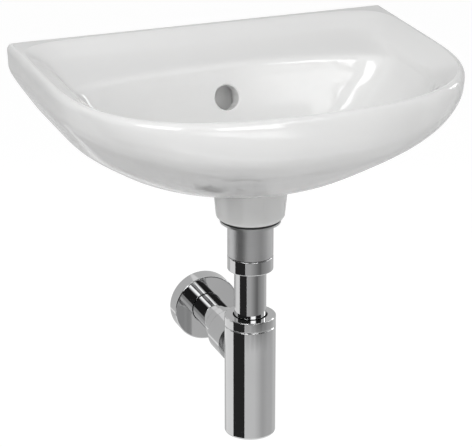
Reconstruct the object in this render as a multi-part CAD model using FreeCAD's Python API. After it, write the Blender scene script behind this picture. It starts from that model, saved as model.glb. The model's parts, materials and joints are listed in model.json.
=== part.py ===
import FreeCAD, Part
import math
import os

V = FreeCAD.Vector

# Frame: millimetres, +Z up, +Y into the wall, +X to the right of someone facing the basin.
# The origin lies on the wall plane, midway between the two fixing holes.

# Basin, overall
BASIN_WIDTH = 400.0
BASIN_REACH = 312.0
FIXING_DROP = 60.0
FIXING_SPACING = 200.0
FIXING_HOLE_D = 14.0
OUTLET_REACH = 139.5
OVERRUN = 5.0

# Basin, rim and outside
RIM_SIDE_INSET = 5.0
RIM_FRONT_INSET = 13.0
RIM_ROUND = 5.0
RIM_TURN_DEGREES = 60
RIM_FALL = 6.0
RIM_CREST = 1.0
BEHIND_WALL = 100.0
SIDE_SQUARENESS = 8.0
OUTLINE_STEPS = 24
GATHER_SHARE = 0.4
RIM_STEPS = 4

# Rows from the rim's flank down: drop, half width, reach, widest line, front roundness.
# The drop follows the casting's height, the widths the half width, the reaches the basin's reach.
BODY_SHARES = (
    (0.087, 1.002, 0.980, 0.400, 2.66),
    (0.173, 1.000, 0.992, 0.400, 2.53),
    (0.295, 0.966, 0.998, 0.363, 2.44),
    (0.461, 0.896, 0.950, 0.310, 2.32),
    (0.636, 0.810, 0.851, 0.256, 2.19),
    (0.795, 0.688, 0.750, 0.205, 2.07),
    (0.913, 0.594, 0.640, 0.167, 1.98),
    (0.980, 0.520, 0.560, 0.142, 1.93),
    (1.000, 0.400, 0.490, 0.140, 1.90),
)
RIM_SIDE_SHARES = (1.002, 0.994, 0.400, 2.70)

# Basin, dished top and bowl
BOWL_DEPTH = 112.0
FLOOR_THICKNESS = 15.0
FLOOR_CENTRE_SHARE = 0.4471
BACK_CREST = 5.0
CREST_RISE = 1.0
CREST_RUN = 4.0
SEAT_D = 68.0
# Rows from the crest down: drop, half width, back, front, widest line, back and front roundness, back bow.
# The drop follows the bowl's depth, the widths the half width, the bow the row's own reach behind its
# widest line, the rest the basin's reach.
BOWL_SHARES = (
    (0.011, 0.9570, 0.026, 0.9440, 0.400, 8.0, 2.70, 0.00),
    (0.036, 0.9290, 0.040, 0.9360, 0.400, 8.0, 2.69, 0.00),
    (0.071, 0.8970, 0.061, 0.9260, 0.410, 8.0, 2.68, 0.00),
    (0.107, 0.8700, 0.082, 0.9170, 0.420, 8.0, 2.66, 0.01),
    (0.129, 0.8570, 0.099, 0.9110, 0.430, 8.0, 2.64, 0.04),
    (0.152, 0.8480, 0.122, 0.9050, 0.440, 8.0, 2.62, 0.09),
    (0.175, 0.8390, 0.152, 0.8970, 0.455, 8.0, 2.59, 0.17),
    (0.194, 0.8330, 0.184, 0.8900, 0.465, 8.0, 2.56, 0.23),
    (0.210, 0.8270, 0.202, 0.8850, 0.475, 8.0, 2.54, 0.26),
    (0.232, 0.8190, 0.212, 0.8780, 0.485, 8.0, 2.52, 0.26),
    (0.270, 0.8050, 0.218, 0.8670, 0.495, 8.0, 2.48, 0.25),
    (0.330, 0.7840, 0.227, 0.8500, 0.500, 8.0, 2.44, 0.24),
    (0.400, 0.7570, 0.236, 0.8240, 0.505, 8.0, 2.40, 0.22),
    (0.536, 0.7000, 0.254, 0.7770, 0.505, 7.0, 2.34, 0.19),
    (0.670, 0.6360, 0.270, 0.7200, 0.500, 6.0, 2.26, 0.15),
    (0.804, 0.5450, 0.286, 0.6520, 0.485, 4.5, 2.18, 0.09),
    (0.893, 0.4480, 0.299, 0.6060, 0.468, 3.2, 2.10, 0.05),
    (0.955, 0.3300, 0.315, 0.5720, 0.455, 2.4, 2.05, 0.02),
    (0.987, 0.2200, 0.329, 0.5630, 0.449, 2.0, 2.00, 0.00),
)

# Basin, outlet spigot
SPIGOT_LENGTH = 31.6
SPIGOT_TOP_D = 73.0
SPIGOT_BOTTOM_D = 67.0
SPIGOT_ROUND = 5.0
DRAIN_HOLE_D = 46.0

# Basin, overflow
OVERFLOW_D = 25.0
OVERFLOW_DROP = 55.0
OVERFLOW_LIP = 1.5
DUCT_WIDTH = 30.0
DUCT_DEPTH = 12.0
DUCT_HEIGHT = 14.0
DUCT_FALL = 8.0
DUCT_WALL = 10.0
DUCT_HEADROOM = 16.0
DUCT_ROUND_SHARE = 0.8
CHINA_WALL = 10.0

# Basin, rear pockets
BACK_PLATE = 14.0
POCKET_BOWL_WALL = 10.0
POCKET_WEB = 17.0
POCKET_SIDE_WALL = 30.0
POCKET_EDGE = 12.0
POCKET_DROP = 42.0
POCKET_ROUND = 10.0

# Waste fitting
THREAD_D = 41.5
THREAD_CLEARANCE = 0.08
WASTE_BORE_D = 36.0
WASTE_FLANGE_D = 63.0
WASTE_FLANGE_EDGE = 1.2
WASTE_FLANGE_RISE = 2.2
WASTE_FLANGE_ROOT = 2.4
WASTE_TAIL_PAST_SLEEVE = 6.5
SEAL_THICKNESS = 1.6
SEAL_D = 59.0
WINDOW_COUNT = 4
WINDOW_WIDTH = 11.0
WINDOW_HEIGHT = 18.0
CROSS_BAR_DROP = 40.0
CROSS_BAR_HEIGHT = 5.0
CROSS_BAR_WIDTH = 4.0
CROSS_BAR_ARMS = 3
HUB_D = 14.0

# Sleeve below the spigot
BOTTOM_SEAL_THICKNESS = 2.0
SLEEVE_FLANGE_D = 60.0
SLEEVE_FLANGE = 2.0
SLEEVE_D = 45.4
SLEEVE_LENGTH = 37.0
SLEEVE_EDGE = 0.6

# Plug
PLUG_D = 62.0
PLUG_EDGE = 3.0
PLUG_CROWN = 2.5
PLUG_LIFT = 8.0
PLUG_TRAVEL = 7.0
PLUG_SKIRT_D = 34.0
PLUG_SKIRT = 5.0
PLUG_SEAL_D = 41.0
PLUG_SEAL = 2.2
STEM_D = 8.0
STEM_LENGTH = 36.0
STEM_CLEARANCE = 0.06
CARTRIDGE_D = 12.5
CARTRIDGE_HEAD_D = 18.0
CARTRIDGE_HEAD = 6.0
CARTRIDGE_FLOOR = 2.0
CARTRIDGE_ROOM = 2.0
CARTRIDGE_NUT = 5.0

# Union between waste and dip tube
NUT_GAP = 0.3
UNION_NUT_D = 45.6
UNION_NUT_HEIGHT = 14.5
UNION_NUT_ROUND = 2.0
UNION_SEAL = 2.0
UNION_RING = 2.0
COLLAR = 1.5

# Tube and bottle
TUBE_D = 32.0
TUBE_WALL = 1.0
TUBE_FIT = 0.05
TUBE_GAP = 0.3
TUBE_SHOWN = 49.0
TUBE_END_GAP = 13.2
BOTTLE_D = 51.2
BOTTLE_HEIGHT = 127.2
BOTTLE_WALL = 2.5
BOTTLE_EDGE = 2.0
CAP_HEIGHT = 10.5
CAP_TOP = 2.5
CAP_HOLE_D = 34.8
CAP_GROOVE = 0.7
CAP_WALL = 3.0
NECK_WALL = 2.5
NECK_FIT = 0.05
TUBE_SEAL = 4.0
CAP_GASKET = 1.2

# Clean-out base of the bottle
BASE_D = 38.0
BASE_FLANGE_D = 43.0
BASE_FLANGE = 2.5
BASE_SEAL = 1.5
BASE_HEIGHT = 7.0
BASE_SLOT_WIDTH = 4.0
BASE_SLOT_LENGTH = 30.0
BASE_SLOT_DEPTH = 1.5

# Outlet of the bottle
BRANCH_DROP = 42.1
BRANCH_D = 38.0
BRANCH_LENGTH = 51.5
OUTLET_NUT_D = 46.0
OUTLET_NUT_START = 28.0
OUTLET_NUT_LENGTH = 32.0
OUTLET_NECK_D = 37.0
OUTLET_NECK_LENGTH = 18.0
OUTLET_NUT_ROUND = 1.5
OUTLET_SEAL = 3.5
OUTLET_RING = 2.0
PIPE_START = 35.5
PIPE_PAST_WALL = 30.0

# Rosette on the wall
ROSETTE_D = 70.0
ROSETTE_DEPTH = 17.0
ROSETTE_WALL = 1.2
ROSETTE_EDGE = 1.0
ROSETTE_HOLE_GAP = 0.5
GRIP_D = 39.0
GRIP_LENGTH = 4.0

# Levels worked out from the sizes above
rim_z = FIXING_DROP
bowl_floor_z = rim_z - BOWL_DEPTH
body_height = BOWL_DEPTH + FLOOR_THICKNESS
body_bottom_z = rim_z - body_height
spigot_bottom_z = body_bottom_z - SPIGOT_LENGTH
sleeve_top_z = spigot_bottom_z - BOTTOM_SEAL_THICKNESS
sleeve_bottom_z = sleeve_top_z - SLEEVE_LENGTH
union_nut_top_z = sleeve_bottom_z - NUT_GAP
union_nut_bottom_z = union_nut_top_z - UNION_NUT_HEIGHT
waste_tail_z = sleeve_bottom_z - WASTE_TAIL_PAST_SLEEVE
collar_top_z = waste_tail_z - UNION_SEAL
bottle_top_z = union_nut_bottom_z - TUBE_SHOWN
shoulder_z = bottle_top_z - CAP_HEIGHT
bottle_bottom_z = bottle_top_z - BOTTLE_HEIGHT
branch_z = bottle_top_z - BRANCH_DROP
waste_flange_z = bowl_floor_z + SEAL_THICKNESS
cross_bar_z = waste_flange_z - CROSS_BAR_DROP
plug_z = waste_flange_z + WASTE_FLANGE_EDGE + WASTE_FLANGE_RISE + PLUG_LIFT
neck_top_z = bottle_top_z - CAP_TOP - TUBE_SEAL - CAP_GASKET
branch_end_y = BRANCH_LENGTH - OUTLET_REACH
nut_start_y = OUTLET_NUT_START - OUTLET_REACH
nut_step_y = nut_start_y + OUTLET_NUT_LENGTH
neck_end_y = nut_step_y + OUTLET_NECK_LENGTH


def rim_slope(drop_share):
    """Forward fall of a level: the whole fall of the rim at the top, none at the floor."""
    return RIM_FALL / BASIN_REACH * (1 - drop_share)


def outline(z, half_width, y_back, y_front, y_wide, n_back, n_front, slope=0.0, past_middle=OVERRUN, bow=0.0):
    """Right half of a smooth plan outline at one level, widest at y_wide, closed just past the middle plane."""
    points = []
    for step in range(OUTLINE_STEPS + 1):
        quarter = 2 * step / OUTLINE_STEPS
        turn = math.pi / 2 * quarter + GATHER_SHARE / 4 * math.sin(2 * math.pi * quarter)
        across = abs(math.sin(turn))
        along = math.cos(turn)
        reach = y_back - y_wide if along >= 0 else y_wide - y_front
        n = n_back if along >= 0 else n_front
        radius = (across ** n + abs(along) ** n) ** (-1 / n)
        if along >= 0:
            reach *= 1 - bow * (radius * across) ** 2
        y = y_wide + reach * radius * along
        points.append(V(half_width * radius * across, y, z + slope * y))
    points[0].x = 0
    points[-1].x = 0
    curve = Part.BSplineCurve()
    curve.interpolate(points, Parameters=range(OUTLINE_STEPS + 1),
                      InitialTangent=V(1, 0, 0), FinalTangent=V(-1, 0, 0))
    past = V(-past_middle, 0, 0)
    closing = Part.makePolygon([points[-1], points[-1] + past, points[0] + past, points[0]])
    return Part.Wire([curve.toShape()] + closing.Edges)


def box(x0, x1, y0, y1, z0, z1):
    """Block between two corners."""
    return Part.makeBox(x1 - x0, y1 - y0, z1 - z0, V(x0, y0, z0))


def upright(radius, z0, z1, x=0.0, y=-OUTLET_REACH):
    """Upright round bar between two levels, on the outlet's axis unless told otherwise."""
    return Part.makeCylinder(radius, z1 - z0, V(x, y, z0))


def level(radius, y0, y1, x=0.0, z=0.0):
    """Round bar along Y between two depths."""
    return Part.makeCylinder(radius, y1 - y0, V(x, y0, z), V(0, 1, 0))


def turned(points):
    """Solid turned about the outlet's axis from (radius, height) corners."""
    corners = [V(radius, -OUTLET_REACH, z) for radius, z in points]
    face = Part.Face(Part.makePolygon(corners + corners[:1]))
    return face.revolve(V(0, -OUTLET_REACH, 0), V(0, 0, 1), 360)


def turned_level(points):
    """Solid turned about the outlet pipe's axis from (radius, depth) corners."""
    corners = [V(radius, y, branch_z) for radius, y in points]
    face = Part.Face(Part.makePolygon(corners + corners[:1]))
    return face.revolve(V(0, 0, branch_z), V(0, 1, 0), 360)


def ring(outer_d, inner_d, z0, z1):
    """Flat upright ring on the outlet's axis."""
    return upright(outer_d / 2, z0, z1).cut(upright(inner_d / 2, z0 - OVERRUN, z1 + OVERRUN))


def level_ring(outer_d, inner_d, y0, y1):
    """Ring on the outlet pipe's axis."""
    outer = level(outer_d / 2, y0, y1, z=branch_z)
    return outer.cut(level(inner_d / 2, y0 - OVERRUN, y1 + OVERRUN, z=branch_z))


def circle_edges(shape, radius, z=None, y=None):
    """Full round edges of one radius at one level or one depth."""
    found = []
    for edge in shape.Edges:
        if not isinstance(edge.Curve, Part.Circle):
            continue
        centre = edge.Curve.Center
        if abs(edge.Curve.Radius - radius) > TUBE_FIT / 2:
            continue
        if z is not None and abs(centre.z - z) > TUBE_FIT:
            continue
        if y is not None and abs(centre.y - y) > TUBE_FIT:
            continue
        found.append(edge)
    return found


def right_half(shape):
    """The part of a shape to the right of the middle plane."""
    return shape.common(box(0, BASIN_WIDTH, -BASIN_REACH - BEHIND_WALL, BEHIND_WALL,
                            spigot_bottom_z - OVERRUN, rim_z + OVERRUN))


def floor_shift(drop_share):
    """How far a level moves with the outlet: not at the rim, and fully at the floor."""
    return drop_share ** 2 * (FLOOR_CENTRE_SHARE * BASIN_REACH - OUTLET_REACH)


def between_rows(shares, drop_share, column):
    """Share in one column of a table, read between its rows."""
    for above, below in zip(shares, shares[1:]):
        if above[0] <= drop_share <= below[0]:
            part = (drop_share - above[0]) / (below[0] - above[0])
            return above[column] + part * (below[column] - above[column])


def rim_rings():
    """Levels of the crest's rounding, from its top out to the start of the flank."""
    width_share, reach_share, wide_share, n_front = RIM_SIDE_SHARES
    rings = []
    for step in range(RIM_STEPS + 1):
        angle = math.radians(RIM_TURN_DEGREES) * step / RIM_STEPS
        spread = RIM_ROUND * math.sin(angle)
        drop = RIM_ROUND * (1 - math.cos(angle))
        half_width = BASIN_WIDTH / 2 * width_share - RIM_SIDE_INSET + spread
        y_front = RIM_FRONT_INSET - BASIN_REACH * reach_share - spread
        rings.append(outline(rim_z - drop, half_width, BEHIND_WALL, y_front, -BASIN_REACH * wide_share,
                             SIDE_SQUARENESS, n_front, rim_slope(drop / body_height)))
    return rings


def basin_body():
    """Right half of the casting's outer form, from the crest to the underside, cut flat at the wall."""
    rings = rim_rings()
    for drop, width, reach, wide, n_front in BODY_SHARES:
        shift = floor_shift(drop)
        rings.append(outline(rim_z - body_height * drop, BASIN_WIDTH / 2 * width, BEHIND_WALL,
                             shift - BASIN_REACH * reach, shift - BASIN_REACH * wide,
                             SIDE_SQUARENESS, n_front, rim_slope(drop)))
    body = Part.makeLoft(rings, True, False)
    behind = box(-BASIN_WIDTH, BASIN_WIDTH, 0, BEHIND_WALL + OVERRUN,
                 body_bottom_z - OVERRUN, rim_z + OVERRUN)
    return right_half(body.cut(behind))


def bowl_space():
    """Right half of the dished top and the bowl, from above the crest down to the flat seat of the waste."""
    width_share, reach_share, wide_share, n_front = RIM_SIDE_SHARES
    rings = []
    for rise, back in ((CREST_RISE, BACK_CREST - CREST_RUN), (0, BACK_CREST)):
        inset = RIM_CREST + back - BACK_CREST
        half_width = BASIN_WIDTH / 2 * width_share - RIM_SIDE_INSET - inset
        y_front = RIM_FRONT_INSET + inset - BASIN_REACH * reach_share
        rings.append(outline(rim_z + rise, half_width, -back, y_front, -BASIN_REACH * wide_share,
                             SIDE_SQUARENESS, n_front, rim_slope(0), 2 * OVERRUN))
    for drop, width, back, front, wide, n_back, n_front, bow in BOWL_SHARES:
        shift = floor_shift(drop)
        rings.append(outline(rim_z - BOWL_DEPTH * drop, BASIN_WIDTH / 2 * width, shift - BASIN_REACH * back,
                             shift - BASIN_REACH * front, shift - BASIN_REACH * wide,
                             n_back, n_front, rim_slope(drop), 2 * OVERRUN, bow))
    seat = SEAT_D / 2
    rings.append(outline(bowl_floor_z, seat, seat - OUTLET_REACH, -seat - OUTLET_REACH,
                         -OUTLET_REACH, 2, 2, 0, 2 * OVERRUN))
    return Part.makeLoft(rings, True, False)


def spigot():
    """Right half of the tapered outlet spigot, with a rounded lower edge, reaching up into the casting."""
    top_z = bowl_floor_z - CHINA_WALL / 2
    taper = (SPIGOT_TOP_D - SPIGOT_BOTTOM_D) / 2 / SPIGOT_LENGTH
    top_radius = SPIGOT_TOP_D / 2 + taper * (top_z - body_bottom_z)
    solid = turned([(0, top_z), (top_radius, top_z), (SPIGOT_BOTTOM_D / 2, spigot_bottom_z),
                    (0, spigot_bottom_z)])
    solid = solid.makeFillet(SPIGOT_ROUND, circle_edges(solid, SPIGOT_BOTTOM_D / 2, z=spigot_bottom_z))
    return right_half(solid)


def bowl_back(drop):
    """Depth of the bowl's back wall on the middle plane, at one drop below the rim."""
    drop_share = drop / BOWL_DEPTH
    return floor_shift(drop_share) - BASIN_REACH * between_rows(BOWL_SHARES, drop_share, 2)


def duct_front():
    """Depth of the overflow duct's front face, behind the bowl's back wall."""
    return bowl_back(OVERFLOW_DROP - DUCT_HEADROOM) + DUCT_WALL


def duct_profile(grow):
    """Side profile of the overflow duct, grown by a wall thickness for the casting round it."""
    front = duct_front() - grow
    back = duct_front() + DUCT_DEPTH + grow
    top = rim_z - OVERFLOW_DROP + DUCT_HEADROOM + grow
    roof = bowl_floor_z - CHINA_WALL + grow
    floor = roof - DUCT_HEIGHT - 2 * grow
    half = DUCT_WIDTH / 2 + grow
    corners = [(front, top), (back, top), (back, floor), (-OUTLET_REACH, floor - DUCT_FALL),
               (-OUTLET_REACH, roof - DUCT_FALL), (front, roof)]
    points = [V(-half, y, z) for y, z in corners]
    side = Part.Face(Part.makePolygon(points + points[:1]))
    return side.extrude(V(2 * half, 0, 0))


def overflow_hole():
    """Round overflow hole square to the bowl's back wall and into the duct, with a bevelled lip."""
    radius = OVERFLOW_D / 2
    hole = level(radius, -OVERRUN, duct_front() + DUCT_DEPTH / 2 - bowl_back(OVERFLOW_DROP))
    lip = Part.makeCone(radius + OVERFLOW_LIP + OVERRUN, radius, OVERFLOW_LIP + OVERRUN,
                        V(0, -OVERRUN, 0), V(0, 1, 0))
    hole = hole.fuse(lip)
    rise = OVERFLOW_D / 2
    lean = math.atan2(bowl_back(OVERFLOW_DROP - rise) - bowl_back(OVERFLOW_DROP + rise), 2 * rise)
    hole.rotate(V(0, 0, 0), V(1, 0, 0), -math.degrees(lean))
    hole.translate(V(0, bowl_back(OVERFLOW_DROP), rim_z - OVERFLOW_DROP))
    return hole


def rear_pocket():
    """Pocket behind the right of the bowl, open below, that keeps the casting's walls even."""
    top_z = rim_z - POCKET_DROP
    mouth_z = body_bottom_z - OVERRUN
    inner = DUCT_WIDTH / 2 + POCKET_WEB
    half_width = BASIN_WIDTH / 2
    top_outer = half_width * between_rows(BODY_SHARES, POCKET_DROP / body_height, 1) - POCKET_SIDE_WALL
    mouth_outer = half_width * BODY_SHARES[-1][1] - POCKET_EDGE
    front = bowl_back(POCKET_DROP) + POCKET_BOWL_WALL
    corners = [(inner, mouth_z), (inner, top_z), (top_outer, top_z), (mouth_outer, mouth_z)]
    points = [V(x, front, z) for x, z in corners]
    face = Part.Face(Part.makePolygon(points + points[:1]))
    pocket = face.extrude(V(0, -BACK_PLATE - front, 0))
    roof_corners = [edge for edge in pocket.Edges
                    if edge.BoundBox.ZMin > mouth_z + OVERRUN and edge.BoundBox.YLength > POCKET_ROUND]
    return pocket.makeFillet(POCKET_ROUND, roof_corners)


def duct_casting():
    """Right half of the rounded casing of the duct under the bowl, between the back web and the spigot."""
    casing = duct_profile(CHINA_WALL)
    lower = box(-BASIN_WIDTH, BASIN_WIDTH, -OUTLET_REACH, 0, spigot_bottom_z, bowl_floor_z - CHINA_WALL / 2)
    casing = casing.common(lower)
    low_edges = [edge for edge in casing.Edges if edge.BoundBox.ZMax < body_bottom_z - CHINA_WALL
                 and edge.BoundBox.YMax > CHINA_WALL - OUTLET_REACH]
    return right_half(casing.makeFillet(CHINA_WALL * DUCT_ROUND_SHARE, low_edges))


def basin():
    """Casting of the washbasin, made as its right half and mirrored."""
    half = basin_body().fuse(spigot())
    half = half.cut(bowl_space())
    half = half.cut(rear_pocket())
    half = half.fuse(duct_casting())
    half = half.cut(duct_profile(0))
    half = half.cut(overflow_hole())
    half = half.cut(upright(DRAIN_HOLE_D / 2, spigot_bottom_z - OVERRUN, bowl_floor_z + OVERRUN))
    half = half.cut(level(FIXING_HOLE_D / 2, -BACK_PLATE - OVERRUN, OVERRUN, x=FIXING_SPACING / 2))
    return half.fuse(half.mirror(V(0, 0, 0), V(1, 0, 0))).removeSplitter()


def waste_body():
    """Flanged waste with overflow windows, a cross bar for the plug and a threaded tail."""
    thread = THREAD_D / 2
    bore = WASTE_BORE_D / 2
    edge_z = waste_flange_z + WASTE_FLANGE_EDGE
    crown_z = edge_z + WASTE_FLANGE_RISE
    crown = (WASTE_FLANGE_D / 2 + thread) / 2
    root_z = waste_flange_z - WASTE_FLANGE_ROOT
    solid = turned([(WASTE_FLANGE_D / 2, waste_flange_z), (WASTE_FLANGE_D / 2, edge_z), (crown, crown_z),
                    (bore, root_z), (bore, waste_tail_z), (thread, waste_tail_z), (thread, waste_flange_z)])
    window_top = waste_flange_z - 2 * CHINA_WALL
    for turn in range(WINDOW_COUNT):
        window = box(-WINDOW_WIDTH / 2, WINDOW_WIDTH / 2, -OUTLET_REACH, -OUTLET_REACH + THREAD_D,
                     window_top - WINDOW_HEIGHT, window_top)
        window.rotate(V(0, -OUTLET_REACH, 0), V(0, 0, 1), 360 / WINDOW_COUNT * turn)
        solid = solid.cut(window)
    bar_bottom_z = cross_bar_z - CROSS_BAR_HEIGHT
    for turn in range(CROSS_BAR_ARMS):
        arm = box(-CROSS_BAR_WIDTH / 2, CROSS_BAR_WIDTH / 2, -OUTLET_REACH,
                  -OUTLET_REACH + (bore + thread) / 2, bar_bottom_z, cross_bar_z)
        arm.rotate(V(0, -OUTLET_REACH, 0), V(0, 0, 1), 360 / CROSS_BAR_ARMS * turn)
        solid = solid.fuse(arm)
    solid = solid.fuse(upright(HUB_D / 2, bar_bottom_z, cross_bar_z))
    hole = (CARTRIDGE_D - CARTRIDGE_NUT) / 2
    solid = solid.cut(upright(hole, bar_bottom_z - OVERRUN, cross_bar_z + OVERRUN))
    return solid.removeSplitter()


def waste_top_seal():
    """Gasket between the waste's flange and the bowl."""
    return ring(SEAL_D, THREAD_D + 2 * THREAD_CLEARANCE, bowl_floor_z, waste_flange_z)


def waste_bottom_seal():
    """Gasket between the spigot and the sleeve's flange."""
    return ring(SEAL_D, THREAD_D + 2 * THREAD_CLEARANCE, sleeve_top_z, spigot_bottom_z)


def waste_sleeve():
    """Tubular back nut with a thin flange that clamps the waste to the spigot."""
    body = SLEEVE_D / 2
    flange = SLEEVE_FLANGE_D / 2
    flange_z = sleeve_top_z - SLEEVE_FLANGE
    hole = THREAD_D / 2 + THREAD_CLEARANCE
    solid = turned([(hole, sleeve_top_z), (flange, sleeve_top_z), (flange, flange_z), (body, flange_z),
                    (body, sleeve_bottom_z + SLEEVE_EDGE), (body - SLEEVE_EDGE, sleeve_bottom_z),
                    (hole, sleeve_bottom_z)])
    return solid


def plug_cap():
    """Crowned plug with a skirt that closes the waste when it is pressed down."""
    radius = PLUG_D / 2
    top_z = plug_z + PLUG_EDGE + PLUG_CROWN
    crown_radius = (radius ** 2 + PLUG_CROWN ** 2) / (2 * PLUG_CROWN)
    ball = Part.makeSphere(crown_radius, V(0, -OUTLET_REACH, top_z - crown_radius))
    cap = upright(radius, plug_z, top_z).common(ball)
    cap = cap.fuse(upright(PLUG_SKIRT_D / 2, plug_z - PLUG_SKIRT, plug_z))
    return cap.cut(upright(STEM_D / 2, plug_z - PLUG_SKIRT - OVERRUN, plug_z)).removeSplitter()


def plug_seal():
    """Ring on the plug's skirt."""
    return ring(PLUG_SEAL_D, PLUG_SKIRT_D, plug_z - PLUG_SEAL, plug_z)


def stem_bottom():
    """Level of the stem's lower end with the plug open."""
    return plug_z - STEM_LENGTH


def plug_stem():
    """Stem of the plug, held in the plug and sliding in the cartridge."""
    return upright(STEM_D / 2, stem_bottom(), plug_z)


def plug_cartridge():
    """Latch guide on the cross bar, with a screwed foot and a bore for the stem."""
    bore = STEM_D / 2 + STEM_CLEARANCE
    head = CARTRIDGE_HEAD_D / 2
    body = CARTRIDGE_D / 2
    foot = (CARTRIDGE_D - CARTRIDGE_NUT) / 2
    top_z = plug_z - PLUG_SKIRT - PLUG_TRAVEL - CARTRIDGE_ROOM
    floor_z = stem_bottom() - PLUG_TRAVEL - CARTRIDGE_ROOM
    head_z = top_z - CARTRIDGE_HEAD
    foot_z = cross_bar_z - CROSS_BAR_HEIGHT - CARTRIDGE_FLOOR
    solid = turned([(bore, top_z), (head, top_z), (head, head_z), (body, head_z), (body, cross_bar_z),
                    (foot, cross_bar_z), (foot, foot_z), (0, foot_z), (0, floor_z), (bore, floor_z)])
    return solid


def union_seal():
    """Flat washer between the waste's tail and the dip tube's collar."""
    return ring(THREAD_D - 2 * TUBE_GAP, TUBE_D, collar_top_z, waste_tail_z)


def dip_tube():
    """Straight tube with a turned-out collar, reaching down into the bottle."""
    outer = TUBE_D / 2
    inner = outer - TUBE_WALL
    collar = THREAD_D / 2 - TUBE_GAP
    collar_z = collar_top_z - COLLAR
    bottom_z = bottle_bottom_z + BASE_HEIGHT + TUBE_END_GAP
    return turned([(inner, collar_top_z), (collar, collar_top_z), (collar, collar_z), (outer, collar_z),
                   (outer, bottom_z), (inner, bottom_z)])


def union_ring():
    """Slip ring between the collar and the union nut's floor."""
    top_z = collar_top_z - COLLAR
    return ring(THREAD_D - 2 * TUBE_GAP, TUBE_D + 2 * TUBE_FIT, top_z - UNION_RING, top_z)


def union_nut():
    """Smooth round nut that draws the dip tube against the waste."""
    radius = UNION_NUT_D / 2
    thread = THREAD_D / 2 + THREAD_CLEARANCE
    hole = TUBE_D / 2 + TUBE_GAP
    floor_z = collar_top_z - COLLAR - UNION_RING
    solid = turned([(thread, union_nut_top_z), (radius, union_nut_top_z), (radius, union_nut_bottom_z),
                    (hole, union_nut_bottom_z), (hole, floor_z), (thread, floor_z)])
    solid = solid.makeFillet(UNION_NUT_ROUND / 2, circle_edges(solid, radius, z=union_nut_bottom_z))
    return solid.makeFillet(UNION_NUT_ROUND / 2, circle_edges(solid, radius, z=union_nut_top_z))


def trap_cap():
    """Ring nut on top of the bottle, open round the dip tube."""
    radius = BOTTLE_D / 2
    hole = CAP_HOLE_D / 2
    bore = radius - CAP_WALL
    under_z = bottle_top_z - CAP_TOP
    edge = CAP_GROOVE
    return turned([(hole, bottle_top_z), (radius - edge, bottle_top_z), (radius, bottle_top_z - edge),
                   (radius, shoulder_z + edge), (radius - edge, shoulder_z), (bore, shoulder_z),
                   (bore, under_z), (hole, under_z)])


def tube_seal():
    """Lip seal that the cap presses round the dip tube."""
    bore = BOTTLE_D - 2 * CAP_WALL - 2 * NECK_FIT
    top_z = bottle_top_z - CAP_TOP
    lip = TUBE_D / 2 + TUBE_FIT
    return turned([(lip, top_z), (bore / 2, top_z), (bore / 2, top_z - TUBE_SEAL),
                   (lip + TUBE_WALL, top_z - TUBE_SEAL), (lip, top_z - TUBE_SEAL + TUBE_WALL)])


def cap_gasket():
    """Flat ring between the bottle's neck and the tube seal."""
    outer = BOTTLE_D - 2 * CAP_WALL - 2 * NECK_FIT
    return ring(outer, outer - 2 * NECK_WALL, neck_top_z, neck_top_z + CAP_GASKET)


def trap_bottle():
    """Bottle with a threaded neck, a side branch and an open base for the clean-out."""
    radius = BOTTLE_D / 2
    inner = radius - BOTTLE_WALL
    neck = radius - CAP_WALL - NECK_FIT
    neck_inner = neck - NECK_WALL
    floor_z = bottle_bottom_z + BASE_HEIGHT
    step_z = bottle_bottom_z + BASE_FLANGE + BASE_SEAL
    hole = BASE_D / 2 + THREAD_CLEARANCE
    recess = BASE_FLANGE_D / 2 + THREAD_CLEARANCE
    edge = CAP_GROOVE
    solid = turned([(neck_inner, neck_top_z), (neck, neck_top_z), (neck, shoulder_z),
                    (radius - edge, shoulder_z), (radius, shoulder_z - edge), (radius, bottle_bottom_z),
                    (recess, bottle_bottom_z), (recess, step_z), (hole, step_z), (hole, floor_z),
                    (inner, floor_z), (inner, shoulder_z - BOTTLE_WALL), (neck_inner, shoulder_z)])
    solid = solid.makeFillet(BOTTLE_EDGE, circle_edges(solid, radius, z=bottle_bottom_z))
    branch = level(BRANCH_D / 2, -OUTLET_REACH, branch_end_y, z=branch_z)
    branch = branch.cut(upright(inner, bottle_bottom_z, bottle_top_z))
    solid = solid.fuse(branch)
    return solid.cut(level(TUBE_D / 2 + TUBE_GAP, -OUTLET_REACH, branch_end_y + OVERRUN, z=branch_z))


def base_seal():
    """Ring between the clean-out's flange and the bottle."""
    z0 = bottle_bottom_z + BASE_FLANGE
    return ring(BASE_FLANGE_D, BASE_D + 2 * THREAD_CLEARANCE, z0, z0 + BASE_SEAL)


def base_plug():
    """Screwed clean-out base with a flange and a slot for a coin."""
    flange_z = bottle_bottom_z + BASE_FLANGE
    solid = turned([(0, bottle_bottom_z), (BASE_FLANGE_D / 2, bottle_bottom_z), (BASE_FLANGE_D / 2, flange_z),
                    (BASE_D / 2, flange_z), (BASE_D / 2, bottle_bottom_z + BASE_HEIGHT),
                    (0, bottle_bottom_z + BASE_HEIGHT)])
    slot = box(-BASE_SLOT_LENGTH / 2, BASE_SLOT_LENGTH / 2, -OUTLET_REACH - BASE_SLOT_WIDTH / 2,
               -OUTLET_REACH + BASE_SLOT_WIDTH / 2, bottle_bottom_z - OVERRUN,
               bottle_bottom_z + BASE_SLOT_DEPTH)
    return solid.cut(slot)


def outlet_seal():
    """Cone ring that seals the wall pipe in the branch."""
    outer = BRANCH_D / 2
    inner = TUBE_D / 2 + TUBE_FIT
    end_y = branch_end_y + OUTLET_SEAL
    return turned_level([(inner, branch_end_y), (outer, branch_end_y), (outer, end_y - OUTLET_SEAL / 2),
                         (outer - TUBE_WALL, end_y), (inner, end_y)])


def outlet_ring():
    """Slip ring between the seal and the outlet nut's step."""
    y0 = branch_end_y + OUTLET_SEAL
    return level_ring(BRANCH_D - 2 * TUBE_GAP, TUBE_D + 2 * TUBE_FIT, y0, y0 + OUTLET_RING)


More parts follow.
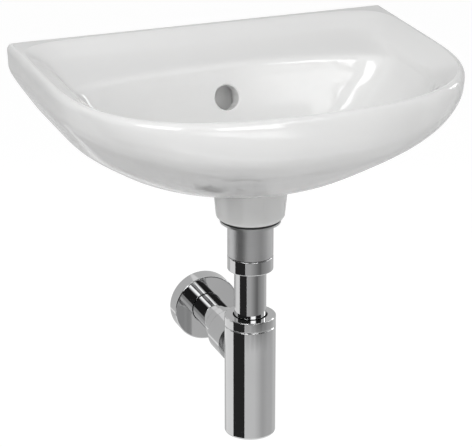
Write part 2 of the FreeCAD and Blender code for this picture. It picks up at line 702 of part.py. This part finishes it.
def outlet_nut():
    """Round nut on the branch with a narrower neck round the wall pipe."""
    radius = OUTLET_NUT_D / 2
    neck = OUTLET_NECK_D / 2
    thread = BRANCH_D / 2 + THREAD_CLEARANCE
    hole = TUBE_D / 2 + TUBE_GAP
    seat_y = branch_end_y + OUTLET_SEAL + OUTLET_RING
    solid = turned_level([(thread, nut_start_y), (radius, nut_start_y), (radius, nut_step_y),
                          (neck, nut_step_y), (neck, neck_end_y), (hole, neck_end_y),
                          (hole, seat_y), (thread, seat_y)])
    solid = solid.makeFillet(OUTLET_NUT_ROUND, circle_edges(solid, radius, y=nut_step_y))
    return solid.makeFillet(OUTLET_NUT_ROUND / 2, circle_edges(solid, neck, y=neck_end_y))


def wall_pipe():
    """Straight pipe from the branch into the wall."""
    return level_ring(TUBE_D, TUBE_D - 2 * TUBE_WALL, PIPE_START - OUTLET_REACH, PIPE_PAST_WALL)


def rosette():
    """Shallow cup that covers the hole in the wall round the pipe."""
    outer = ROSETTE_D / 2
    hole = TUBE_D / 2 + ROSETTE_HOLE_GAP
    face = -ROSETTE_DEPTH
    solid = turned_level([(hole, face), (outer, face), (outer, 0), (outer - ROSETTE_WALL, 0),
                          (outer - ROSETTE_WALL, face + ROSETTE_WALL), (hole, face + ROSETTE_WALL)])
    return solid.makeFillet(ROSETTE_EDGE, circle_edges(solid, outer, y=face))


def rosette_grip():
    """Ring inside the rosette that holds it on the pipe."""
    y0 = -ROSETTE_DEPTH + ROSETTE_WALL
    return level_ring(GRIP_D, TUBE_D + 2 * TUBE_FIT, y0, y0 + GRIP_LENGTH)


PIECES = (basin, waste_body, waste_top_seal, waste_bottom_seal, waste_sleeve, plug_cap, plug_seal, plug_stem,
          plug_cartridge, union_seal, dip_tube, union_ring, union_nut, trap_cap, tube_seal, cap_gasket,
          trap_bottle, base_seal, base_plug, outlet_seal, outlet_ring, outlet_nut, wall_pipe, rosette,
          rosette_grip)

os.makedirs("parts", exist_ok=True)
for piece in PIECES:
    shape = piece()
    solids = shape.Solids
    size = shape.BoundBox
    print(piece.__name__, len(solids), shape.isValid(), round(shape.Volume),
          round(size.XLength, 1), round(size.YLength, 1), round(size.ZLength, 1))
    shape = solids[0] if len(solids) == 1 else shape
    shape.exportStep("parts/" + piece.__name__ + ".step")
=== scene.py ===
import json
import math

import bpy
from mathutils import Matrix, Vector


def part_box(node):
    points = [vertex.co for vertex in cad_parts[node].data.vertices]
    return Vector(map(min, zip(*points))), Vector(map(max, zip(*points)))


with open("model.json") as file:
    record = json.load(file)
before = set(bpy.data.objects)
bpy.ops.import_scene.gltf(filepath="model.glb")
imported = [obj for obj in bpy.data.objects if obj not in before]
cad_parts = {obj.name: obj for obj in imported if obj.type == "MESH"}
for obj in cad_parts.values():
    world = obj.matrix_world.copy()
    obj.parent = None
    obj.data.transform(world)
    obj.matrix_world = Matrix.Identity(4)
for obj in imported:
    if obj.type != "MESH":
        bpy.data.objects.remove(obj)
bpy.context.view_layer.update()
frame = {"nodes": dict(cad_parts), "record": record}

scene = bpy.context.scene
scene.view_settings.view_transform = "Standard"


def middle(node):
    """Middle of a CAD node's box, in metres."""
    low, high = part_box(node)
    return (low + high) / 2.0


# Point on the trap's upright axis inside the bowl, and the height of its pipe
TRAP_AXIS = Vector((*middle("trap_cap").xy, 0.0))
PIPE_Z = middle("rosette").z

# Range of a share, and the part of it that a noise mostly takes
UNIT = (0.0, 1.0)
NOISE_SPAN = (0.3, 0.7)


def new_material(name):
    """Empty node material, with its tree and its output."""
    material = bpy.data.materials.new(name)
    material.use_nodes = True
    tree = material.node_tree
    tree.nodes.clear()
    return material, tree, tree.nodes.new("ShaderNodeOutputMaterial")


def add(tree, kind, **values):
    """New node; named sockets and properties are set from the keywords."""
    node = tree.nodes.new(kind)
    for key, value in values.items():
        if key in node.inputs:
            node.inputs[key].default_value = value
        else:
            setattr(node, key, value)
    return node


def place_of(tree, scale=(1.0, 1.0, 1.0)):
    """Object coordinates in metres, stretched along the axes."""
    coords = add(tree, "ShaderNodeTexCoord")
    mapping = add(tree, "ShaderNodeMapping", Scale=scale)
    tree.links.new(coords.outputs["Object"], mapping.inputs["Vector"])
    return mapping.outputs["Vector"]


def along(tree, place, axis):
    """One coordinate of a place."""
    split = tree.nodes.new("ShaderNodeSeparateXYZ")
    tree.links.new(place, split.inputs[0])
    return split.outputs[axis]


def noise(tree, place, scale, detail, roughness):
    """Noise value between 0 and 1."""
    node = add(tree, "ShaderNodeTexNoise", Scale=scale, Detail=detail, Roughness=roughness)
    tree.links.new(place, node.inputs["Vector"])
    return node.outputs["Fac"]


def spread(tree, value, limits, span=NOISE_SPAN):
    """Maps a value from its span to the limits."""
    node = tree.nodes.new("ShaderNodeMapRange")
    for socket, number in zip(("From Min", "From Max", "To Min", "To Max"), (*span, *limits)):
        node.inputs[socket].default_value = number
    tree.links.new(value, node.inputs["Value"])
    return node.outputs["Result"]


def pair(tree, operation, first, second):
    """Product or larger of two values."""
    node = add(tree, "ShaderNodeMath", operation=operation)
    tree.links.new(first, node.inputs[0])
    tree.links.new(second, node.inputs[1])
    return node.outputs[0]


def colour(tree, shader, value, shades):
    """Shader's colour, from the dark to the light shade by a noise value."""
    dark, light = shades
    node = tree.nodes.new("ShaderNodeMix")
    node.data_type = "RGBA"
    node.inputs["A"].default_value = (*dark, 1.0)
    node.inputs["B"].default_value = (*light, 1.0)
    tree.links.new(spread(tree, value, UNIT), node.inputs["Factor"])
    tree.links.new(node.outputs["Result"], shader.inputs["Base Color"])


def roughen(tree, shader, value, limits):
    """Shader's roughness, between two limits by a noise value."""
    tree.links.new(spread(tree, value, limits), shader.inputs["Roughness"])


def emboss(tree, shader, height, depth):
    """Relief of a given depth in metres on a shader."""
    node = add(tree, "ShaderNodeBump", Strength=1.0, Distance=depth)
    tree.links.new(height, node.inputs["Height"])
    tree.links.new(node.outputs["Normal"], shader.inputs["Normal"])


def mixed(tree, factor, first, second):
    """The first shader where the factor is 0, the second where it is 1."""
    mix = tree.nodes.new("ShaderNodeMixShader")
    tree.links.new(factor, mix.inputs[0])
    tree.links.new(first.outputs[0], mix.inputs[1])
    tree.links.new(second.outputs[0], mix.inputs[2])
    return mix


def finish_with(tree, output, shader):
    """Shader as a tree's surface."""
    tree.links.new(shader.outputs[0], output.inputs["Surface"])


def grey(level):
    """Neutral colour of a given level."""
    return (level, level, level, 1.0)


# Materials. A noise is its scale per metre, detail and roughness, shades are a dark and a light colour,
# a stretch scales the place along the axes, and depths and other lengths are in metres.

# Glazed china, and its bare back
GLAZE_SHADES = ((0.845, 0.846, 0.842), (0.868, 0.868, 0.862))
GLAZE_DRIFT = (9.0, 3.0, 0.55)
GLAZE_ROUGHNESS = (0.07, 0.12)
GLAZE_SMEAR = (38.0, 3.0, 0.55)
GLAZE_WAVE = (55.0, 2.0, 0.55)
GLAZE_WAVE_DEPTH = 0.00006
GLAZE_IOR = 1.52
BARE_SHADES = ((0.72, 0.70, 0.66), (0.80, 0.785, 0.75))
BARE_GRAIN = (900.0, 5.0, 0.7)
BARE_GRAIN_DEPTH = 0.00025
BARE_ROUGHNESS = 0.86
BARE_IOR = 1.45
BARE_SPAN = (-0.0004, -0.0001)


def china():
    """Glazed vitreous china: faint colour drift, wavy glaze, bare and matt where it meets the wall."""
    material, tree, output = new_material("glazed_china")
    place = place_of(tree)
    glaze = add(tree, "ShaderNodeBsdfPrincipled", IOR=GLAZE_IOR)
    colour(tree, glaze, noise(tree, place, *GLAZE_DRIFT), GLAZE_SHADES)
    roughen(tree, glaze, noise(tree, place, *GLAZE_SMEAR), GLAZE_ROUGHNESS)
    emboss(tree, glaze, noise(tree, place, *GLAZE_WAVE), GLAZE_WAVE_DEPTH)
    bare = add(tree, "ShaderNodeBsdfPrincipled", Roughness=BARE_ROUGHNESS, IOR=BARE_IOR)
    grain = noise(tree, place, *BARE_GRAIN)
    colour(tree, bare, grain, BARE_SHADES)
    emboss(tree, bare, grain, BARE_GRAIN_DEPTH)
    back = spread(tree, along(tree, place, "Y"), UNIT, BARE_SPAN)
    finish_with(tree, output, mixed(tree, back, glaze, bare))
    return material


# Polished chrome, and the satin branch on the bottle's side
CHROME_SHADES = ((0.555, 0.557, 0.560), (0.578, 0.580, 0.582))
CHROME_CLOUD = (26.0, 4.0, 0.55)
CHROME_ROUGHNESS = (0.025, 0.055)
CHROME_WIPING = (160.0, 5.0, 0.6)
CHROME_WIPING_STRETCH = (1.0, 1.0, 0.25)
CHROME_WIPING_SPAN = (0.35, 0.75)
CHROME_EDGE_RADIUS = 0.0007
CHROME_EDGE_SAMPLES = 6
BRANCH_ROUGHNESS = 0.36
BRANCH_RADIUS = 0.019
BRANCH_CLEARANCE = 0.0001
BRANCH_EDGE = 0.0003
BRANCH_START = 0.010
BRANCH_FADE = 0.002


def on_branch(tree, place):
    """1 on the bottle's side branch, 0 on the bottle."""
    from_axis = add(tree, "ShaderNodeMapping", Scale=(1.0, 0.0, 1.0), Location=(0.0, 0.0, -PIPE_Z))
    tree.links.new(place, from_axis.inputs["Vector"])
    away = add(tree, "ShaderNodeVectorMath", operation="LENGTH")
    tree.links.new(from_axis.outputs["Vector"], away.inputs[0])
    reach = BRANCH_RADIUS + BRANCH_CLEARANCE
    near = spread(tree, away.outputs["Value"], (1.0, 0.0), (reach, reach + BRANCH_EDGE))
    start = TRAP_AXIS.y + BRANCH_START
    behind = spread(tree, along(tree, place, "Y"), UNIT, (start, start + BRANCH_FADE))
    return pair(tree, "MULTIPLY", near, behind)


def soften_edges(tree, shader):
    """Edges catch the light as if broken by a small radius."""
    node = add(tree, "ShaderNodeBevel", Radius=CHROME_EDGE_RADIUS, samples=CHROME_EDGE_SAMPLES)
    tree.links.new(node.outputs["Normal"], shader.inputs["Normal"])


def chrome(name, branch=False):
    """Polished chrome with faint wiping marks and broken edges; the bottle's branch is satin."""
    material, tree, output = new_material(name)
    place = place_of(tree)
    metal = add(tree, "ShaderNodeBsdfPrincipled", Metallic=1.0)
    colour(tree, metal, noise(tree, place, *CHROME_CLOUD), CHROME_SHADES)
    wiping = noise(tree, place_of(tree, CHROME_WIPING_STRETCH), *CHROME_WIPING)
    roughness = spread(tree, wiping, CHROME_ROUGHNESS, CHROME_WIPING_SPAN)
    if branch:
        dull = spread(tree, on_branch(tree, place), (0.0, BRANCH_ROUGHNESS), UNIT)
        roughness = pair(tree, "MAXIMUM", roughness, dull)
    tree.links.new(roughness, metal.inputs["Roughness"])
    soften_edges(tree, metal)
    finish_with(tree, output, metal)
    return material


# Satin metal
SATIN_SHADES = ((0.54, 0.542, 0.545), (0.62, 0.622, 0.625))
SATIN_ROUGHNESS = (0.34, 0.44)
SATIN_LINES = (4.0, 6.0, 0.7)
SATIN_STRETCH = (6.0, 6.0, 900.0)
SATIN_LINE_DEPTH = 0.00002


def satin():
    """Satin metal with fine turning lines round it."""
    material, tree, output = new_material("satin_metal")
    metal = add(tree, "ShaderNodeBsdfPrincipled", Metallic=1.0)
    lines = noise(tree, place_of(tree, SATIN_STRETCH), *SATIN_LINES)
    colour(tree, metal, lines, SATIN_SHADES)
    roughen(tree, metal, lines, SATIN_ROUGHNESS)
    emboss(tree, metal, lines, SATIN_LINE_DEPTH)
    finish_with(tree, output, metal)
    return material


# Bare brass
BRASS_SHADES = ((0.52, 0.36, 0.14), (0.72, 0.54, 0.24))
BRASS_DULLING = (90.0, 4.0, 0.55)
BRASS_ROUGHNESS = (0.25, 0.45)
BRASS_LINES = (4.0, 5.0, 0.65)
BRASS_STRETCH = (8.0, 8.0, 700.0)
BRASS_LINE_DEPTH = 0.00003


def brass():
    """Bare turned brass, slightly dulled."""
    material, tree, output = new_material("turned_brass")
    metal = add(tree, "ShaderNodeBsdfPrincipled", Metallic=1.0)
    colour(tree, metal, noise(tree, place_of(tree), *BRASS_DULLING), BRASS_SHADES)
    lines = noise(tree, place_of(tree, BRASS_STRETCH), *BRASS_LINES)
    roughen(tree, metal, lines, BRASS_ROUGHNESS)
    emboss(tree, metal, lines, BRASS_LINE_DEPTH)
    finish_with(tree, output, metal)
    return material


# Sealing rubber
RUBBER_SHADES = ((0.018, 0.018, 0.019), (0.040, 0.040, 0.042))
RUBBER_BLOOM = (70.0, 4.0, 0.55)
RUBBER_ROUGHNESS = (0.55, 0.75)
RUBBER_GRAIN = (1500.0, 4.0, 0.7)
RUBBER_GRAIN_DEPTH = 0.00006
RUBBER_IOR = 1.5


def rubber():
    """Matt black sealing rubber with a fine grain."""
    material, tree, output = new_material("seal_rubber")
    place = place_of(tree)
    skin = add(tree, "ShaderNodeBsdfPrincipled", IOR=RUBBER_IOR)
    colour(tree, skin, noise(tree, place, *RUBBER_BLOOM), RUBBER_SHADES)
    grain = noise(tree, place, *RUBBER_GRAIN)
    roughen(tree, skin, grain, RUBBER_ROUGHNESS)
    emboss(tree, skin, grain, RUBBER_GRAIN_DEPTH)
    finish_with(tree, output, skin)
    return material


# Slip-ring plastic
PLASTIC_SHADES = ((0.70, 0.71, 0.70), (0.80, 0.81, 0.80))
PLASTIC_FLOW = (60.0, 3.0, 0.55)
PLASTIC_FLOW_DEPTH = 0.00004
PLASTIC_ROUGHNESS = (0.35, 0.5)
PLASTIC_SMEAR = (400.0, 3.0, 0.55)
PLASTIC_IOR = 1.48


def plastic():
    """Milky slip-ring plastic with moulding flow marks."""
    material, tree, output = new_material("slip_ring_plastic")
    place = place_of(tree)
    skin = add(tree, "ShaderNodeBsdfPrincipled", IOR=PLASTIC_IOR)
    flow = noise(tree, place, *PLASTIC_FLOW)
    colour(tree, skin, flow, PLASTIC_SHADES)
    roughen(tree, skin, noise(tree, place, *PLASTIC_SMEAR), PLASTIC_ROUGHNESS)
    emboss(tree, skin, flow, PLASTIC_FLOW_DEPTH)
    finish_with(tree, output, skin)
    return material


def dress(node, finish):
    """Finish in every slot of a CAD node."""
    for slot in frame["nodes"][node].material_slots:
        slot.material = finish


def dress_nodes():
    """Each CAD node takes the finish of its slot in the record, and the bottle has a satin branch."""
    finishes = {
        "vitreous_china": china(),
        "chrome": chrome("polished_chrome"),
        "satin_steel": satin(),
        "bare_brass": brass(),
        "seal_rubber": rubber(),
        "slip_ring_plastic": plastic(),
    }
    for part in frame["record"]["subparts"]:
        dress(part["node"], finishes[part["material_slot"]])
    dress("trap_bottle", chrome("polished_bottle", branch=True))


# Camera, at the photograph's viewing angle
CAMERA_PLACE = (-0.7289, -1.9773, 0.6498)
CAMERA_TILT = 69.092
CAMERA_PAN = -21.226
CAMERA_LENS = 165.27
CAMERA_SENSOR = 36.0


def camera():
    """Camera that frames the part as the photograph does."""
    data = bpy.data.cameras.new("camera")
    data.sensor_fit = "HORIZONTAL"
    data.sensor_width = CAMERA_SENSOR
    data.lens = CAMERA_LENS
    view = bpy.data.objects.new("camera", data)
    scene.collection.objects.link(view)
    view.location = CAMERA_PLACE
    view.rotation_euler = (math.radians(CAMERA_TILT), 0.0, math.radians(CAMERA_PAN))
    scene.camera = view


# Surroundings and floor, in metres
WORLD_LEVEL = 0.2
FLOOR_Z = -0.79
FLOOR_HALF = 14.0
FLOOR_ALBEDO = 0.8
FLOOR_WHITE = 0.95
FLOOR_SHADE = 0.15


def background_rays(tree):
    """1 for the rays that show the background: the camera's, and those by way of metal or glass."""
    path = tree.nodes.new("ShaderNodeLightPath")
    shown = path.outputs["Is Camera Ray"]
    for kind in ("Is Glossy Ray", "Is Transmission Ray"):
        shown = pair(tree, "MAXIMUM", shown, path.outputs[kind])
    return shown


def surroundings():
    """Even light from all round; white where the background shows."""
    world = bpy.data.worlds.new("studio")
    scene.world = world
    world.use_nodes = True
    tree = world.node_tree
    tree.nodes.clear()
    output = tree.nodes.new("ShaderNodeOutputWorld")
    light = add(tree, "ShaderNodeBackground", Color=grey(1.0), Strength=WORLD_LEVEL)
    white = add(tree, "ShaderNodeBackground", Color=grey(1.0), Strength=1.0)
    finish_with(tree, output, mixed(tree, background_rays(tree), light, white))


def panel(name, corners, faces, material):
    """Stage surface from its corners and faces."""
    mesh = bpy.data.meshes.new(name)
    mesh.from_pydata([tuple(corner) for corner in corners], [], faces)
    mesh.materials.append(material)
    thing = bpy.data.objects.new(name, mesh)
    scene.collection.objects.link(thing)
    return thing


def rectangle(low, high, z):
    """Corners of a level rectangle between two points of its plan."""
    return [(low[0], low[1], z), (high[0], low[1], z), (high[0], high[1], z), (low[0], high[1], z)]


def floor():
    """Plain pale floor, clear from below; as the background it is near white and keeps the shadow."""
    material, tree, output = new_material("studio_floor")
    matt = add(tree, "ShaderNodeBsdfDiffuse", Color=grey(FLOOR_ALBEDO))
    white = add(tree, "ShaderNodeEmission", Color=grey(1.0), Strength=FLOOR_WHITE)
    shaded = add(tree, "ShaderNodeBsdfDiffuse", Color=grey(FLOOR_SHADE))
    shown = tree.nodes.new("ShaderNodeAddShader")
    tree.links.new(white.outputs[0], shown.inputs[0])
    tree.links.new(shaded.outputs[0], shown.inputs[1])
    above = mixed(tree, background_rays(tree), matt, shown)
    side = tree.nodes.new("ShaderNodeNewGeometry")
    clear = tree.nodes.new("ShaderNodeBsdfTransparent")
    finish_with(tree, output, mixed(tree, side.outputs["Backfacing"], above, clear))
    corners = rectangle((-FLOOR_HALF, -FLOOR_HALF), (FLOOR_HALF, FLOOR_HALF), FLOOR_Z)
    panel("studio_floor", corners, [(0, 1, 2, 3)], material)


# Screens that show in reflections only. Heights and distances are in metres, and a turn is in degrees
# round the trap, to the right of the camera's direction as the camera sees it.
SCREEN_STEP = 10.0
SCREEN_GAP = 0.004
SCREEN_FOOT = FLOOR_Z + SCREEN_GAP
LEVEL_NAME = "level"


def toward(turn, distance, z):
    """Point at a turn and a distance round the trap."""
    camera_way = math.atan2(CAMERA_PLACE[1] - TRAP_AXIS.y, CAMERA_PLACE[0] - TRAP_AXIS.x)
    angle = camera_way + math.radians(turn)
    return (TRAP_AXIS.x + math.cos(angle) * distance, TRAP_AXIS.y + math.sin(angle) * distance, z)


def glow(name):
    """Material that shines as bright as its points are painted."""
    material, tree, output = new_material(name)
    painted = add(tree, "ShaderNodeAttribute", attribute_name=LEVEL_NAME)
    shine = add(tree, "ShaderNodeEmission", Strength=1.0)
    tree.links.new(painted.outputs["Color"], shine.inputs["Color"])
    finish_with(tree, output, shine)
    return material


def card(name, corners, faces, levels):
    """Panel with a brightness at each corner, seen in reflections only."""
    thing = panel(name, corners, faces, glow(name))
    paint = thing.data.color_attributes.new(LEVEL_NAME, "FLOAT_COLOR", "POINT")
    for point, level in zip(paint.data, levels):
        point.color = grey(level)
    thing.visible_camera = False
    thing.visible_diffuse = False
    thing.visible_shadow = False
    thing.visible_transmission = False


def screen(name, levels, distance, foot, top):
    """Upright card on an arc round the trap; its levels are turn, brightness at foot and at top."""
    corners = [toward(turn, distance, z) for turn, low, high in levels for z in (foot, top)]
    faces = [(2 * i, 2 * i + 2, 2 * i + 3, 2 * i + 1) for i in range(len(levels) - 1)]
    card(name, corners, faces, [level for turn, low, high in levels for level in (low, high)])


def even(turns, low, high):
    """Levels between two turns of a screen that goes from low at its foot to high at its top."""
    start, end = turns
    steps = math.ceil((end - start) / SCREEN_STEP)
    return [(start + (end - start) * step / steps, low, high) for step in range(steps + 1)]


# Dark curtain on the camera's side, which brightens above, and dark screen on the trap's left
DARK = 0.03
CURTAIN_TURNS = (-100.0, 85.0)
CURTAIN_DISTANCE = 2.6
CURTAIN_TOP = 1.6
CURTAIN_BRIGHT = 0.9
CURTAIN_BRIGHT_TOP = 6.0
LEFT_TURNS = (-80.0, -24.0)
LEFT_DISTANCE = 0.85
LEFT_TOP = -0.2


def dark_screens():
    """Screens that give the chrome its dark bands."""
    below = even(CURTAIN_TURNS, DARK, DARK)
    above = even(CURTAIN_TURNS, DARK, CURTAIN_BRIGHT)
    screen("dark_curtain", below, CURTAIN_DISTANCE, SCREEN_FOOT, CURTAIN_TOP)
    screen("dark_curtain_top", above, CURTAIN_DISTANCE, CURTAIN_TOP, CURTAIN_BRIGHT_TOP)
    screen("dark_screen_left", even(LEFT_TURNS, DARK, DARK), LEFT_DISTANCE, SCREEN_FOOT, LEFT_TOP)


# Grey screen on the trap's right (turn, brightness below and above a blend), and greys behind the part
GREY_LEVELS = (
    (-23.0, 0.84, 0.57),
    (0.0, 0.84, 0.56),
    (20.0, 0.82, 0.40),
    (40.0, 0.68, 0.24),
    (51.0, 0.58, 0.19),
    (60.0, 0.55, 0.30),
    (85.0, 0.62, 0.43),
    (110.0, 0.62, 0.54),
    (135.0, 0.75, 0.75),
)
GREY_DISTANCE = 0.86
GREY_BLEND_FOOT = -0.605
GREY_BLEND_TOP = -0.565
GREY_TOP = -0.38
BEHIND_LEVEL = 0.66
BEHIND_TURNS = (130.0, 240.0)
BEHIND_DISTANCE = 1.4
BEHIND_TOP = 0.5
BEHIND_CARD = ((-0.35, 0.1), (1.6, 1.1))


def grey_screens():
    """Screens that give the chrome its grey bands."""
    below = [(turn, low, low) for turn, low, high in GREY_LEVELS]
    above = [(turn, high, high) for turn, low, high in GREY_LEVELS]
    screen("grey_screen_low", below, GREY_DISTANCE, SCREEN_FOOT, GREY_BLEND_FOOT)
    screen("grey_screen_mid", GREY_LEVELS, GREY_DISTANCE, GREY_BLEND_FOOT, GREY_BLEND_TOP)
    screen("grey_screen_high", above, GREY_DISTANCE, GREY_BLEND_TOP, GREY_TOP)
    behind = even(BEHIND_TURNS, BEHIND_LEVEL, BEHIND_LEVEL)
    screen("grey_curtain_behind", behind, BEHIND_DISTANCE, SCREEN_FOOT, BEHIND_TOP)
    corners = rectangle(*BEHIND_CARD, SCREEN_FOOT)
    card("grey_card_behind", corners, [(0, 1, 2, 3)], [BEHIND_LEVEL] * len(corners))


# White panel on the right (turn and brightness), whose four sides are soft
WHITE = 2.8
WHITE_LEVELS = ((1.0, DARK), (9.0, WHITE), (22.0, WHITE), (35.0, WHITE), (43.0, DARK))
WHITE_DISTANCE = 2.0
WHITE_FOOT = 0.5
WHITE_FULL_FOOT = 0.64
WHITE_FULL_TOP = 0.97
WHITE_TOP = 1.1


def white_panel():
    """Panel that gives the wall pipe its white lines."""
    foot = [(turn, DARK, level) for turn, level in WHITE_LEVELS]
    full = [(turn, level, level) for turn, level in WHITE_LEVELS]
    top = [(turn, level, DARK) for turn, level in WHITE_LEVELS]
    screen("white_panel_foot", foot, WHITE_DISTANCE, WHITE_FOOT, WHITE_FULL_FOOT)
    screen("white_panel_right", full, WHITE_DISTANCE, WHITE_FULL_FOOT, WHITE_FULL_TOP)
    screen("white_panel_top", top, WHITE_DISTANCE, WHITE_FULL_TOP, WHITE_TOP)


# Lamps round the bowl. A softbox is its name, turn, height angle, width, height and power in watts, and a
# fill is its name, turn, height angle and power.
LAMP_DISTANCE = 2.0
SOFTBOXES = (
    ("left_softbox", -28.0, 37.5, 1.0, 0.7, 14.5),
    ("right_softbox", 26.0, 38.0, 0.8, 0.4, 6.2),
    ("right_strip", 125.0, 17.0, 0.35, 0.5, 2.7),
    ("edge_strip", 52.0, 41.0, 0.7, 0.13, 1.5),
)
FILL_SIZE = (1.0, 0.7)
FILLS = (
    ("front_fill", 8.0, 15.0, 6.6),
    ("left_fill", -75.0, 20.0, 4.5),
    ("right_fill", 100.0, -5.0, 5.0),
    ("top_fill", 0.0, 85.0, 3.2),
    ("back_fill", 175.0, 12.0, 5.0),
)


def softbox(name, turn, rise, width, height, power):
    """Rectangular lamp aimed at the bowl."""
    data = bpy.data.lights.new(name, "AREA")
    data.shape = "RECTANGLE"
    data.size = width
    data.size_y = height
    data.energy = power
    lamp = bpy.data.objects.new(name, data)
    scene.collection.objects.link(lamp)
    angle = math.radians(rise)
    lamp.location = toward(turn, math.cos(angle) * LAMP_DISTANCE, math.sin(angle) * LAMP_DISTANCE)
    lamp.rotation_euler = (TRAP_AXIS - lamp.location).to_track_quat("-Z", "Y").to_euler()
    lamp.visible_camera = False
    return lamp


def lamps():
    """Softboxes that metal and glaze mirror, and fills that they don't."""
    for name, turn, rise, width, height, power in SOFTBOXES:
        softbox(name, turn, rise, width, height, power)
    for name, turn, rise, power in FILLS:
        softbox(name, turn, rise, *FILL_SIZE, power).visible_glossy = False


dress_nodes()
camera()
surroundings()
floor()
dark_screens()
grey_screens()
white_panel()
lamps()
